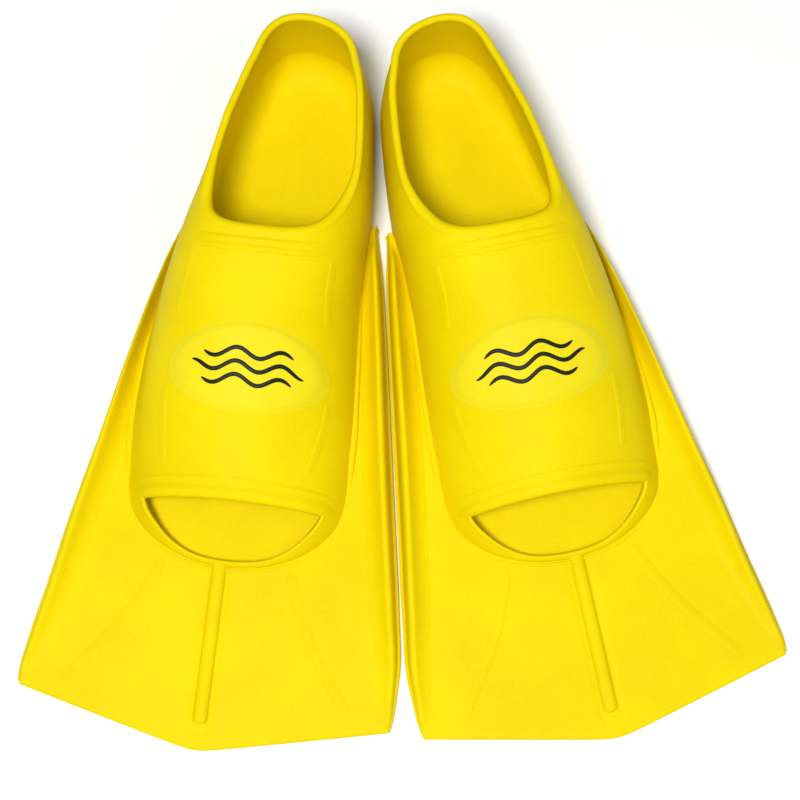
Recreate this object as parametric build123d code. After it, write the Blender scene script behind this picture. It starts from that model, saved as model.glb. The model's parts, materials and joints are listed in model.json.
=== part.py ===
from build123d import *
import os
from math import cos, sin, tan, pi, radians, hypot

# A pair of short-blade training fins lying flat on the floor, toes toward -Y.
# Each fin is drawn in its own frame: x runs toward the other fin (medial), the station s runs
# from the back of the heel to the tip along -Y, and z runs up from the floor. Millimetres.

# Placement: the back of each heel in the pair's frame, and the turn of each fin about +Z
RIGHT_HEEL = (-63.9, 188.8)
RIGHT_TURN = -6.1
LEFT_HEEL = (31.5, 189.4)
LEFT_TURN = 11.6

# Foot pocket: (station, centre line, half width at the floor, crest height, squareness of arch)
POCKET = [
    (58, 14.0, 40.8, 86, 3.5),
    (88, 12.0, 44.9, 82, 3.6),
    (121, 6.5, 49.5, 72.5, 3.0),
    (150, 3.6, 53.2, 66.0, 2.4),
    (187, 2.6, 57.0, 57.5, 2.1),
    (216, 2.8, 58.6, 50.0, 1.95),
    (248, 4.0, 58.0, 41.5, 1.8),
    (268, 4.0, 56.5, 37.5, 1.8),
]
ARCH_POINTS = 13
WALL = 3.2
SOLE_THICK = 5.0
SOLE_STATIONS = (75, 88, 121, 150, 187, 216, 248)

# Heel: plan outline (x, station) at its widest, and how far the wall leans in at each height
HEEL_SPLIT = 74.5
HEEL_GAP = 1.0
HEEL_OUTLINE = [(55.6, 76), (53.7, 52), (49.2, 25), (36.8, 5.8), (13.0, -1.4), (-6.0, 6), (-17.4, 25),
                (-23.4, 49), (-30.0, 76)]
HEEL_MIDDLE = (13, 42)
HEEL_LEAN = [(0, 3.0), (14, 0.0), (34, 0.8), (70, 5.0)]
HEEL_OPEN = 14

# Bead round the foot opening: (x, station) of its middle, and its height seen from the side
BEAD_RADIUS = 2.9
HEEL_RIM = [(50.3, 74.5), (47.4, 52), (42.2, 27), (30.6, 8.2), (13.0, 2.0), (-3.0, 9.0),
            (-12.0, 27), (-17.4, 50), (-25.6, 74.5)]
HEEL_RIM_HEIGHT = 59
FRONT_RIM = [(50.4, 75.5), (51.6, 90), (47.5, 108.5), (28, 121.5), (1, 121.0), (-18.5, 114.5),
             (-30.0, 97), (-26.0, 75.5)]
RIM_SIDE = [(75.5, 59), (92, 60.5), (108, 65), (116, 68.5), (122, 70.8)]
INSTEP_MIDDLE = (10, 80)

# Raised details of the upper
BAND_OFFSET = (9.0, 14.0)
BAND_RISE = 1.2
BAND_FOOT = 40
PAD_CENTRE = (5.0, 191)
PAD_SIZE = (44, 22)
PAD_RISE = 1.6
MARK_RISE = 0.4
MARK_LENGTH = 54
MARK_SWING = 2.2
MARK_STROKE = 2.6
MARK_PITCH = 6.4
MARK_WAVES = 2.5

# Toe opening
LIP_STATION = 251.8
LIP_LENGTH = 4.8
LIP_RISE = 1.4
TOE_CENTRE = (4.0, 248)
TOE_LENGTH = 39.6
TOE_RIM_WIDTH = 7.0
TOE_RIM_FRONT = 10.5
TOE_RIM_BACK = 19
TOE_RIM_LEVEL_STATION = 276

# Blade and rails: (station, medial edge, lateral edge, height of the rail's crown)
EDGE = [
    (97, 61.2, -42.5, 7),
    (130, 67.4, -51.2, 20),
    (185, 76.2, -64.2, 22),
    (270, 89.0, -82.2, 17),
    (291, 92.2, -85.8, 14.5),
    (338, 97.6, -93.8, 7.5),
    (356, 96.2, -95.0, 4.2),
]
RAIL_FLANGE = 1.6
FLANGE_HEIGHT = 3.0
RAIL_OUTER = 4.2
RAIL_CROWN = 4.6
RAIL_BASE = 13.5
WEB_START = 214
WEB_HEIGHTS = (3.4, 8.0)
TIP_HEIGHTS = (0.6, 3.6)
CORNER_MEDIAL = 362.5
CORNER_LATERAL = 357.5
TIP_STATION = 380
TIP_X = 2.0
TIP_ROUND = 14
CORNER_ROUND = 1.2
RIB_WIDTH = 7.0
RIB_RISE = 2.6
RIB_END = 363

# Flex line of the blade: relief faces on both sides of it let the blade swing
FLEX_STATION = 290
FLEX_HEIGHT = 5.5
FLEX_GAP = 0.6
FLEX_RELIEF = 16.5

FAR = 400


def station_plane(s):
    """Plane across the fin at a station, its own y axis pointing up."""
    return Plane(origin=(0, -s, 0), x_dir=(1, 0, 0), z_dir=(0, -1, 0))


def slab(s_from, s_to, z_from=-FAR, z_to=FAR):
    """Block wider than the fin between two stations and two heights."""
    block = Box(2 * FAR, s_to - s_from, z_to - z_from)
    return Pos(0, -(s_from + s_to) / 2, (z_from + z_to) / 2) * block


def between(rows, s):
    """Values of a table of rows at a station, by straight interpolation."""
    for low, high in zip(rows, rows[1:]):
        if low[0] <= s <= high[0]:
            t = (s - low[0]) / (high[0] - low[0])
            return [a + t * (b - a) for a, b in zip(low[1:], high[1:])]


def closed_face(first, second):
    """Face between two open curves, joined by straight lines at their ends."""
    lines = Line(first @ 1, second @ 1) + Line(first @ 0, second @ 0)
    return make_face(first + second + lines)


def arch(s, centre, half, crest, square, grow):
    """Cross section of the foot pocket: a squared-off half ellipse standing on the floor."""
    points = []
    for i in range(ARCH_POINTS):
        t = pi * i / (ARCH_POINTS - 1)
        side = 1 if 2 * i < ARCH_POINTS else -1
        across = side * abs(cos(t)) ** (2 / square)
        up = abs(sin(t)) ** (2 / square) if 0 < i < ARCH_POINTS - 1 else 0
        points.append((centre + (half + grow) * across, (crest + grow) * up))
    curve = Spline(*points, tangents=[(0, 1), (0, -1)])
    return station_plane(s) * make_face(curve + Line(points[-1], points[0]))


def pocket(grow):
    """Solid volume of the foot pocket, grown or shrunk evenly from its outer surface."""
    return loft([arch(*row, grow) for row in POCKET])


def sole_outline():
    """Plan outline of the sole and the toe, in front of the heel."""
    rows = [(s, *between(POCKET, s)) for s in SOLE_STATIONS]
    medial = Spline(*[(row[1] + row[2], -row[0]) for row in rows])
    lateral = Spline(*[(row[1] - row[2], -row[0]) for row in rows])
    return closed_face(medial, lateral) + toe_ellipse(0)


def toe_ellipse(inset):
    """Plan ellipse of the toe's front end."""
    half = between(POCKET, TOE_CENTRE[1])[1]
    return Pos(TOE_CENTRE[0], -TOE_CENTRE[1]) * Ellipse(half - inset, TOE_LENGTH - inset)


def heel_face(inset, height):
    """Plan outline of the heel at one height; its front runs straight on past the split."""
    points = []
    for x, s in HEEL_OUTLINE:
        dx, ds = x - HEEL_MIDDLE[0], s - HEEL_MIDDLE[1]
        scale = 1 - inset / hypot(dx, ds)
        points.append((HEEL_MIDDLE[0] + dx * scale, -HEEL_MIDDLE[1] - ds * scale))
    front = Line((points[0][0], points[0][1] - HEEL_OPEN), (points[-1][0], points[-1][1] - HEEL_OPEN))
    return Pos(0, 0, height) * closed_face(Spline(*points), front)


def heel_volume(inset):
    """Solid volume of the heel from the floor to above the rim."""
    return loft([heel_face(lean + inset, height) for height, lean in HEEL_LEAN])


def bead(points):
    """Round bead along a run of points."""
    path = Spline(*points)
    return sweep(Plane(path @ 0, z_dir=path % 0) * Circle(BEAD_RADIUS), path)


def moved_out(points, distance):
    """Rim points moved away from the middle of the instep."""
    result = []
    for x, s in points:
        dx, ds = x - INSTEP_MIDDLE[0], s - INSTEP_MIDDLE[1]
        scale = 1 + distance / hypot(dx, ds)
        result.append((INSTEP_MIDDLE[0] + dx * scale, -INSTEP_MIDDLE[1] - ds * scale))
    return result


def heel_sole():
    """Rear slab of the footbed."""
    return extrude(heel_face(HEEL_LEAN[0][1] / 2, 0), SOLE_THICK) & slab(-WALL, HEEL_SPLIT)


def heel_bead():
    """Thick rounded edge round the heel."""
    return bead([(x, -s, HEEL_RIM_HEIGHT) for x, s in HEEL_RIM]) & slab(-2 * BEAD_RADIUS, HEEL_SPLIT)


def heel_cup(edge):
    """Wall round the heel from the footbed to the bead."""
    wall = heel_volume(0) - heel_volume(WALL)
    return (wall & slab(-WALL, HEEL_SPLIT, SOLE_THICK, HEEL_RIM_HEIGHT)) - edge


def sole():
    """Footbed from the arch of the foot to the front of the toe opening."""
    return extrude(sole_outline(), SOLE_THICK) & slab(HEEL_SPLIT + HEEL_GAP, TIP_STATION)


def collar_bead():
    """Thick rounded edge of the foot opening from the ankles across the instep."""
    points = [(x, -s, between(RIM_SIDE, s)[0]) for x, s in FRONT_RIM]
    return bead(points) & slab(HEEL_SPLIT + HEEL_GAP, TIP_STATION)


def instep_upper(shell, collar):
    """Arched upper with the ankle's side walls, open above the foot."""
    front = HEEL_SPLIT + HEEL_GAP
    body = shell & slab(front, LIP_STATION, SOLE_THICK)
    rim = Spline(*moved_out(FRONT_RIM, 0))
    back = Line((rim @ 0) + (0, HEEL_OPEN), (rim @ 1) + (0, HEEL_OPEN))
    column = extrude(closed_face(rim, back), FAR)
    side = Spline(*[(-s, z) for s, z in RIM_SIDE])
    roof = closed_face(side, Line((side @ 0) + (0, FAR), (side @ 1) + (0, FAR)))
    above = extrude(Plane.YZ * roof, FAR, both=True)
    return body - column - above - collar


def instep_band(layer):
    """Thin raised band across the instep, in front of the collar."""
    inner = Spline(*moved_out(FRONT_RIM, BAND_OFFSET[0]))
    outer = Spline(*moved_out(FRONT_RIM, BAND_OFFSET[1]))
    strip = extrude(closed_face(inner, outer), FAR)
    return layer & strip & slab(0, TIP_STATION, BAND_FOOT)


def label_pad(layer):
    """Raised oval pad on top of the foot."""
    oval = Pos(PAD_CENTRE[0], -PAD_CENTRE[1]) * Ellipse(*PAD_SIZE)
    return layer & extrude(oval, FAR)


def printed_mark(layer):
    """Three thin wave strokes printed on the pad."""
    strokes = []
    steps = int(MARK_WAVES * 4)
    for row in (-1, 0, 1):
        points = []
        for i in range(steps + 1):
            x = MARK_LENGTH * (i / steps - 0.5)
            wave = MARK_SWING * sin(2 * pi * MARK_WAVES * i / steps)
            points.append((x, wave + row * MARK_PITCH))
        low = Spline(*[(x, y - MARK_STROKE / 2) for x, y in points])
        high = Spline(*[(x, y + MARK_STROKE / 2) for x, y in points])
        face = Pos(PAD_CENTRE[0], -PAD_CENTRE[1]) * closed_face(low, high)
        strokes.append(layer & extrude(face, FAR))
    return strokes


def toe_lip(volume):
    """Bead on the front edge of the upper."""
    return volume & slab(LIP_STATION, LIP_STATION + LIP_LENGTH, SOLE_THICK)


def toe_rim():
    """U-shaped rim round the open toe, rising toward the upper."""
    ring = extrude(toe_ellipse(0) - toe_ellipse(TOE_RIM_WIDTH), TOE_RIM_BACK)
    start = LIP_STATION + LIP_LENGTH
    profile = Polyline(
        (-start, SOLE_THICK),
        (-start, TOE_RIM_BACK),
        (-TOE_RIM_LEVEL_STATION, TOE_RIM_FRONT),
        (-TIP_STATION, TOE_RIM_FRONT),
        (-TIP_STATION, SOLE_THICK),
        close=True,
    )
    return ring & extrude(Plane.YZ * make_face(profile), FAR, both=True)


def relief(direction):
    """Space on one side of the flex line: -1 toward the foot pocket, +1 toward the tip."""
    slope = tan(radians(FLEX_RELIEF))
    near = [FLEX_STATION + direction * (FLEX_GAP + abs(z) * slope) for z in (-FAR, 0, FAR)]
    profile = Polyline(
        (-near[0], FLEX_HEIGHT - FAR),
        (-near[1], FLEX_HEIGHT),
        (-near[2], FLEX_HEIGHT + FAR),
        (-FLEX_STATION - direction * 2 * FAR, FLEX_HEIGHT + FAR),
        (-FLEX_STATION - direction * 2 * FAR, FLEX_HEIGHT - FAR),
        close=True,
    )
    return extrude(Plane.YZ * make_face(profile), FAR, both=True)


def rail(side):
    """Side rail from the ankle to the corner: a ridge with a thin flange along its foot."""
    sections = []
    for s, medial, lateral, crown in EDGE:
        edge = medial if side > 0 else lateral
        outline = Polyline(
            (edge, 0),
            (edge, FLANGE_HEIGHT),
            (edge - side * RAIL_FLANGE, FLANGE_HEIGHT),
            (edge - side * RAIL_OUTER, crown),
            (edge - side * (RAIL_OUTER + RAIL_CROWN), crown),
            (edge - side * RAIL_BASE, min(crown, WEB_HEIGHTS[1])),
            (edge - side * RAIL_BASE, 0),
            close=True,
        )
        sections.append(station_plane(s) * make_face(outline))
    return loft(sections, ruled=True)


def plate():
    """Thin plate of the webs and the blade, from under the rails out to the trailing edge."""
    inside = RAIL_OUTER + RAIL_CROWN / 2
    medial = [(row[1] - inside, -row[0]) for row in EDGE]
    lateral = [(row[2] + inside, -row[0]) for row in EDGE]
    end = -EDGE[-1][0]
    tip = [
        (EDGE[-1][1] - CORNER_ROUND, end),
        (EDGE[-1][1] - CORNER_ROUND, -CORNER_MEDIAL),
        (TIP_X, -TIP_STATION),
        (EDGE[-1][2] + CORNER_ROUND, -CORNER_LATERAL),
        (EDGE[-1][2] + CORNER_ROUND, end),
    ]
    outline = make_face(Polyline(*medial, *tip, *reversed(lateral), close=True))
    apex = [v for v in outline.vertices() if v.Y < -CORNER_MEDIAL - 1]
    outline = fillet(apex, TIP_ROUND)
    profile = Polyline(
        (-EDGE[0][0], WEB_HEIGHTS[0]),
        (-EDGE[0][0], WEB_HEIGHTS[1]),
        (-FLEX_STATION, WEB_HEIGHTS[1]),
        (-TIP_STATION, TIP_HEIGHTS[1]),
        (-TIP_STATION, TIP_HEIGHTS[0]),
        (-FLEX_STATION, WEB_HEIGHTS[0]),
        close=True,
    )
    return extrude(outline, FAR) & extrude(Plane.YZ * make_face(profile), FAR, both=True)


def centre_rib():
    """Half-round stiffener along the middle of the blade."""
    start = FLEX_STATION + FLEX_GAP
    length = RIB_END - start
    slot = Pos(0, -(start + RIB_END) / 2) * Rot(0, 0, 90) * SlotOverall(length + RIB_WIDTH, RIB_WIDTH)
    profile = Polyline(
        (-FLEX_STATION, WEB_HEIGHTS[0]),
        (-FLEX_STATION, WEB_HEIGHTS[1] + RIB_RISE),
        (-TIP_STATION, TIP_HEIGHTS[1] + RIB_RISE),
        (-TIP_STATION, TIP_HEIGHTS[0]),
        close=True,
    )
    bar = extrude(slot, FAR) & extrude(Plane.YZ * make_face(profile), FAR, both=True)
    return bar & relief(1)


def fin():
    """Every piece of one fin in its own frame, by name."""
    outer = pocket(0)
    shell = outer - pocket(-WALL)
    raised = pocket(PAD_RISE)
    footprint = extrude(sole_outline(), FAR)
    pieces = {}
    pieces["heel_sole"] = heel_sole()
    pieces["heel_bead"] = heel_bead()
    pieces["heel_cup"] = heel_cup(pieces["heel_bead"])
    pieces["sole"] = sole()
    pieces["collar_bead"] = collar_bead()
    pieces["instep_upper"] = instep_upper(shell, pieces["collar_bead"])
    pieces["instep_band"] = instep_band(pocket(BAND_RISE) - outer) - pieces["collar_bead"]
    pieces["label_pad"] = label_pad(raised - outer)
    pieces["printed_mark"] = printed_mark(pocket(PAD_RISE + MARK_RISE) - raised)
    pieces["toe_lip"] = toe_lip(pocket(LIP_RISE) - pocket(-WALL - LIP_RISE))
    pieces["toe_rim"] = toe_rim()
    rails = {"medial": rail(1), "lateral": rail(-1)}
    board = plate()
    for name, body in rails.items():
        pieces[f"{name}_rail_root"] = (body & relief(-1)) - footprint - outer - pieces["toe_lip"]
        pieces[f"{name}_rail"] = body & relief(1)
        board = board - body
    web = (board & relief(-1) & slab(WEB_START, TIP_STATION)) - footprint
    web = web - pieces["toe_lip"]
    half = Pos(TOE_CENTRE[0] + FAR, 0, 0) * Box(2 * FAR, 4 * FAR, 2 * FAR)
    pieces["medial_web"] = web & half
    pieces["lateral_web"] = web - half
    pieces["centre_rib"] = centre_rib()
    pieces["blade"] = (board & relief(1)) - pieces["centre_rib"]
    return pieces


def main():
    os.makedirs("parts", exist_ok=True)
    for name, body in fin().items():
        parts = body if isinstance(body, list) else [body]
        solids = [solid for part in parts for solid in part.solids()]
        right = Pos(*RIGHT_HEEL) * Rot(0, 0, RIGHT_TURN)
        left = Pos(*LEFT_HEEL) * Rot(0, 0, LEFT_TURN)
        export_step(Compound([right * solid for solid in solids]), f"parts/right_{name}.step")
        mirrored = [solid.mirror(Plane.YZ) for solid in solids]
        export_step(Compound([left * solid for solid in mirrored]), f"parts/left_{name}.step")


main()
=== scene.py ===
import json
from math import asin, atan2, copysign, cos, exp, hypot, pi, radians, sin, sqrt
import bmesh
import bpy
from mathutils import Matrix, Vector


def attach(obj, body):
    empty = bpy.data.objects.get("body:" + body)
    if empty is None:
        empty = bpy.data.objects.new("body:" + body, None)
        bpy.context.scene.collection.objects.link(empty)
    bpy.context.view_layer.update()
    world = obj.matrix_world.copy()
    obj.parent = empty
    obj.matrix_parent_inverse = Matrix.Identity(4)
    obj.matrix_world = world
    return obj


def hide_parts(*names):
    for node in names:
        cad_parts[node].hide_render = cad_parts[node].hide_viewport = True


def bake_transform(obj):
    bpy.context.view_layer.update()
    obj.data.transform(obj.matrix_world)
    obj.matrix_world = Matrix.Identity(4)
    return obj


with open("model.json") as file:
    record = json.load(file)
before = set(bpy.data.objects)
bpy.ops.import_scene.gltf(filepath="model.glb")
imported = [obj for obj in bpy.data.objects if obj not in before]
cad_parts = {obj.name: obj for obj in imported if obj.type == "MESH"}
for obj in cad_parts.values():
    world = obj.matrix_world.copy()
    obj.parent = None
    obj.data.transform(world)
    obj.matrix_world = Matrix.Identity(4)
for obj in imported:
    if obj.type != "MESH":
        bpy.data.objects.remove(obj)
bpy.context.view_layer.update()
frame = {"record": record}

# A pair of one-colour rubber training fins on a white floor.
# Every outline below is in millimetres in a fin's own frame: x runs toward the other fin
# (medial), the station s runs from the back of the heel to the tip, and z runs up.
# Side 1 is the medial side and side -1 the lateral side.
# An ease is (station where it starts, length it takes); a negative length runs backward.
MM = 0.001
SHARP_ANGLE = radians(62)
WELD = 0.00002
SHELL_WELD = 0.00003
FINE_WELD = 0.000005
UP = (0, 0, 1)

# A fine line's profile points above this lift sink into the surface at the line's ends
BURIED = -0.3

# Stations between which a skin would bend with the blade, or stretch with the heel; no skin is bent
# or stretched with them
FLEX_STATION = 290
BLADE_BEND = (284, 352)
HEEL_STRETCH = (116, 14)
BEND_HEIGHT = 5

# Foot pocket: (station, centre line, half width at the floor, crest height, squareness of arch)
POCKET = [
    (60, 13.9, 40.8, 84.0, 3.4),
    (88, 12.0, 44.9, 80.0, 3.5),
    (121, 6.5, 49.5, 72.5, 3.0),
    (150, 3.6, 53.2, 66.0, 2.45),
    (187, 2.6, 57.0, 57.5, 2.15),
    (216, 2.8, 58.6, 50.0, 1.95),
    (248, 4.0, 58.0, 41.5, 1.8),
    (268, 4.0, 57.0, 37.5, 1.8),
]
POCKET_INSIDE = (190, 12)
WALL = 3.2
WALL_EDGE = [(60, 36.4), (88, 35.5), (121, 32.5), (248, 31.2), (268, 31.6)]
SHELL_FOOT = 2.4
WALL_ROWS = 26
UPPER_ROWS = 110
UPPER_LINES = 96

# Heel: plan outline (x, station) behind the ankles, and how far its wall leans in at the
# sides and at the back, by height
HEEL_START = 60
HEEL_LEAD = 76
HEEL_OUTLINE = [
    (53.6, 48), (52.1, 36), (49.2, 25), (44.3, 14.8), (36.6, 6.6), (25.5, 0.8), (13.0, -1.4),
    (1.8, 0.8), (-6.6, 6.8), (-13.2, 15.4), (-17.8, 25.5), (-21.0, 36), (-23.6, 46),
]
HEEL_STEPS = 72
HEEL_LEAN = [(0, 3.0, 3.0), (8, 0.7, 0.7), (16, 0.0, 0.0), (34, 1.0, 0.2), (62, 5.4, 1.6)]
HEEL_BACK_EASE = (24, -24)
HEEL_EASE = (HEEL_START, -34)

# Foot opening: its front edge, the plan point its heel end goes round, and the bead's
# (radius at the heel, radius at the instep), proud of the wall's outer face
RIM_FRONT = 125.5
RIM_ROUND = 2.2
RIM_MIDDLE = (13, 52)
RIM_STEPS = 130
COLLAR_RADII = (2.1, 3.6)
COLLAR_LIFT = (0.55, 0.2)
COLLAR_EASE = (78, 36)
COLLAR_STEPS = 210
BEAD_SIDES = 20

# Toe: its opening's edge stands lower at the front than at the lip's corners
LIP_STATION = 256.8
TOE_HUB = (4.0, 248)
TOE_LENGTH = 39.6
TOE_STEPS = 56
TOE_EDGE_HEIGHT = 10.3
TOE_EDGE_INSET = 2.6
TOE_EDGE_BOW = 1.2
TOE_TURN = radians(30)
TOE_CORNER = radians(62)
TOE_BEAD = 1.2
TOE_BEAD_LIFT = 0.25

# Footbed: bed height, its dip in the middle, where the fillet up the wall starts, its radii
BED_HEIGHT = 5.4
BED_DIP = 0.4
BED_WALL = 2.9
BED_STEPS = 70
FILLET = {"heel": 17, "ankle": 9, "toe": 4.5, "front": 3.5}
FILLET_BACK_EASE = (HEEL_START, -40)
FILLET_TOE_EASE = (120, 110)
FILLET_STEPS = 8

# Blade: outer edge (station, medial x, lateral x) and the plate's (station, top, underside)
EDGE = [
    (97, 61.2, -42.5),
    (130, 67.4, -51.2),
    (185, 76.2, -64.2),
    (270, 89.0, -82.2),
    (300, 93.4, -87.2),
    (335, 97.5, -93.4),
    (350, 97.4, -95.2),
    (362, 95.8, -94.4),
]
PLATE = [(97, 8.0, 3.4), (282, 8.0, 3.4), (300, 7.4, 3.0), (335, 5.7, 1.9), (380, 3.6, 0.6)]
PLATE_INSET = 2.6
PLATE_STEPS = 48
PLATE_EDGE_STEPS = 6
APEX = (0.0, 380)
APEX_ROUND = 6.0
SWEEP = {1: 0.208, -1: 0.266}
CORNER_STATION = 356
CORNER_INSET = 1.1
CORNER_GAP = 2.0
WEB_ROOTS = {1: 118, -1: 150}
WEB_INSET = 6.0
WEB_EASE = (CORNER_STATION, -36)

# Centre rib and the fine grooves along it
RIB = (284.0, 367.5)
RIB_RADIUS = 3.8
RIB_RISE = 2.4
RIB_TIP = 3.2
RIB_SINK = 0.5
RIB_ROOT = 1.4
GROOVE_DEPTH = 0.55
GROOVE_MIDDLE = 5.1
GROOVE_WIDTH = 1.2
GROOVE_EASE = (281, 6)

# Rails: (station, crown height, width scale medial, width scale lateral)
RAIL = [
    (94, 3.3, 0.2, 0.12),
    (101, 8, 0.35, 0.2),
    (115, 15.5, 0.7, 0.32),
    (130, 19.5, 0.78, 0.38),
    (155, 21.5, 0.86, 0.46),
    (187, 21.5, 0.95, 0.64),
    (215, 20.0, 1.0, 0.86),
    (245, 18.2, 1.0, 1.0),
    (291, 14.2, 0.96, 0.96),
    (320, 10.4, 0.85, 0.85),
    (340, 7.4, 0.66, 0.66),
    (352, 5.4, 0.45, 0.45),
    (357.6, 3.6, 0.28, 0.28),
]
RAIL_STEPS = 170
RAIL_EXTRA = {1: 2.6, -1: -2.6}
RAIL_EXTRA_EASE = (320, 37)
RAIL_SINK = 0.12
FLANGE = 3.1

# The medial rails nearly touch: how much fuller they are at the root and along the blade
RAIL_SWELL = {1: (0.55, 0.85), -1: (0.0, 0.0)}
SWELL_BLADE_EASE = (230, 60)
SWELL_ROOT_EASE = (100, 20)
SWELL_TIP_EASE = (352, -40)


def clamp(value, low=0.0, high=1.0):
    return max(low, min(high, value))


def smooth(value):
    """Smooth step from 0 to 1."""
    t = clamp(value)
    return t * t * (3 - 2 * t)


def ease(s, start, length):
    """Smooth step from 0 at a station to 1 a length further on."""
    return smooth((s - start) / length)


def ends_fade(i, steps, length):
    """1 along a line of steps, running smoothly to 0 over a length at both of its ends."""
    return smooth(min(i, steps - i) / length)


def mix(a, b, t):
    return a + (b - a) * t


def power(value, exponent):
    """Power that keeps the sign."""
    return copysign(abs(value) ** exponent, value)


def slope(rows, i, column):
    """Slope of a table's column at a row, zero at a peak, so that curves don't overshoot."""
    if i == 0 or i == len(rows) - 1:
        near = 1 if i == 0 else i
        return (rows[near][column] - rows[near - 1][column]) / (rows[near][0] - rows[near - 1][0])
    before = (rows[i][column] - rows[i - 1][column]) / (rows[i][0] - rows[i - 1][0])
    after = (rows[i + 1][column] - rows[i][column]) / (rows[i + 1][0] - rows[i][0])
    if before * after <= 0:
        return 0.0
    return 2 * before * after / (before + after)


def curve(rows, s):
    """Values of a table at a station, on a smooth curve through its rows."""
    s = clamp(s, rows[0][0], rows[-1][0])
    i = max(k for k in range(len(rows) - 1) if rows[k][0] <= s)
    width = rows[i + 1][0] - rows[i][0]
    t = (s - rows[i][0]) / width
    values = []
    for column in range(1, len(rows[0])):
        low, high = rows[i][column], rows[i + 1][column]
        rise, fall = slope(rows, i, column) * width, slope(rows, i + 1, column) * width
        values.append(
            (2 * t**3 - 3 * t**2 + 1) * low + (t**3 - 2 * t**2 + t) * rise
            + (3 * t**2 - 2 * t**3) * high + (t**3 - t**2) * fall
        )
    return values


class Fin:
    """One fin: turns its own (x, station, z) into the shared frame."""

    def __init__(self, side):
        joints = frame["record"]["behaviour"]["joints"]
        joint = next(j for j in joints if j["name"] == f"{side}_blade_flex")
        across = -Vector(joint["axis"])
        self.side = side
        self.origin = Vector(joint["pos_m"])
        self.medial = across if side == "right" else -across
        self.toward_tip = Vector((across.y, -across.x, 0))

    def at(self, point):
        """Place of a local point in the shared frame, in metres."""
        x, s, z = point
        place = self.origin + self.medial * (x * MM) + self.toward_tip * ((s - FLEX_STATION) * MM)
        place.z = z * MM
        return place

    def body(self, part):
        """Name of this fin's body."""
        return f"{self.side}_{part}"

    def piece(self, name, points, faces, material, weld=WELD):
        """Mesh object from local points; its normals face outward and it is smooth."""
        mesh = bpy.data.meshes.new(f"{self.side}_{name}")
        mesh.from_pydata([self.at(p) for p in points], [], faces)
        bm = bmesh.new()
        bm.from_mesh(mesh)
        bmesh.ops.remove_doubles(bm, verts=bm.verts, dist=weld)
        bmesh.ops.dissolve_degenerate(bm, edges=bm.edges, dist=weld / 4)
        bmesh.ops.recalc_face_normals(bm, faces=bm.faces)
        bm.to_mesh(mesh)
        bm.free()
        mesh.polygons.foreach_set("use_smooth", [True] * len(mesh.polygons))
        mesh.set_sharp_from_angle(angle=SHARP_ANGLE)
        piece = bpy.data.objects.new(f"{self.side}_{name}_skin", mesh)
        bpy.context.collection.objects.link(piece)
        mesh.materials.append(material)
        return piece

    def finish(self, piece, nodes, moves="foot_pocket", slot="fin_rubber"):
        """Attaches a piece to its body's empty, or bakes a blade or heel piece's placement into its
        mesh, and hides the CAD nodes it stands for; the slot is not used.
        """
        if moves == "blade":
            start, end = [self.at((0, s, BEND_HEIGHT)) for s in BLADE_BEND]
            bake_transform(piece)
        elif moves == "heel":
            start, end = [self.at((0, s, BEND_HEIGHT)) for s in HEEL_STRETCH]
            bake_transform(piece)
        else:
            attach(piece, self.body(moves))
        if nodes:
            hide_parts(*[f"{self.side}_{node}" for node in nodes])


def strip_faces(rows, columns, wrap=False, loop=False, base=0):
    """Quads of a grid of points: wrap joins the last column to the first, loop the last row."""
    faces = []
    for i in range(rows if loop else rows - 1):
        for j in range(columns if wrap else columns - 1):
            here, ahead = i * columns, ((i + 1) % rows) * columns
            near, far = j, (j + 1) % columns
            corners = (here + near, here + far, ahead + far, ahead + near)
            faces.append(tuple(base + k for k in corners))
    return faces


def swept_faces(rows, columns, loop=False, base=0):
    """Faces of a closed solid through closed outlines; open ends are capped."""
    faces = strip_faces(rows, columns, wrap=True, loop=loop, base=base)
    if not loop:
        last = base + (rows - 1) * columns
        faces.append(tuple(range(base, base + columns)))
        faces.append(tuple(range(last, last + columns)))
    return faces


def flat_list(sections):
    """All points of a list of outlines, in order."""
    return [p for section in sections for p in section]


def swept(fin, name, sections, material, loop=False):
    """Closed solid piece through a list of closed outlines."""
    faces = swept_faces(len(sections), len(sections[0]), loop=loop)
    return fin.piece(name, flat_list(sections), faces, material)


def faded(lift, strength, sunk):
    """Lift of a profile's raised point, which sinks into the surface as its line fades out."""
    return mix(sunk, lift, strength) if lift > BURIED else lift


# ---- foot pocket surface

def pocket(s):
    """Centre, half width, crest and squareness of the pocket's section."""
    centre, half, crest, square = curve(POCKET, s)
    ahead = (s - TOE_HUB[1]) / TOE_LENGTH
    if ahead > 0:
        half *= sqrt(max(0.0, 1 - ahead ** 2))
    return centre, half, crest, square


def arch(s, t):
    """Point on the pocket's outer surface; t runs from 0 on the medial floor to pi."""
    centre, half, crest, square = pocket(s)
    across = power(cos(t), 2 / square)
    up = max(0.0, sin(t)) ** (2 / square)
    return Vector((centre + half * across, s, crest * up))


ARCH_STEP = (0.4, 0.01)
ARCH_UPWARD = 20


def arch_normal(s, t):
    """Outward normal of the pocket's outer surface."""
    ds, dt = ARCH_STEP
    along = arch(s + ds, t) - arch(s - ds, t)
    round_it = arch(s, t + dt) - arch(s, t - dt)
    normal = along.cross(round_it).normalized()
    outward = Vector((arch(s, t).x - pocket(s)[0], 0, ARCH_UPWARD))
    return normal if normal.dot(outward) > 0 else -normal


def arch_lift(s, t, lift):
    """Point a lift outside the pocket's outer surface."""
    return arch(s, t) + arch_normal(s, t) * lift


def arch_angle(s, x):
    """The section angle at which the outer surface passes a given x."""
    centre, half, _, square = pocket(s)
    ratio = clamp((x - centre) / half, -1, 1)
    share = clamp(power(ratio, square / 2), -1, 1)
    return atan2(sqrt(1 - share * share), share)


def edge_angle(s):
    """Section angle of the top of the wall: the rim at the ankle, the opening's edge at the toe."""
    return radians(curve(WALL_EDGE, s)[0])


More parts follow.
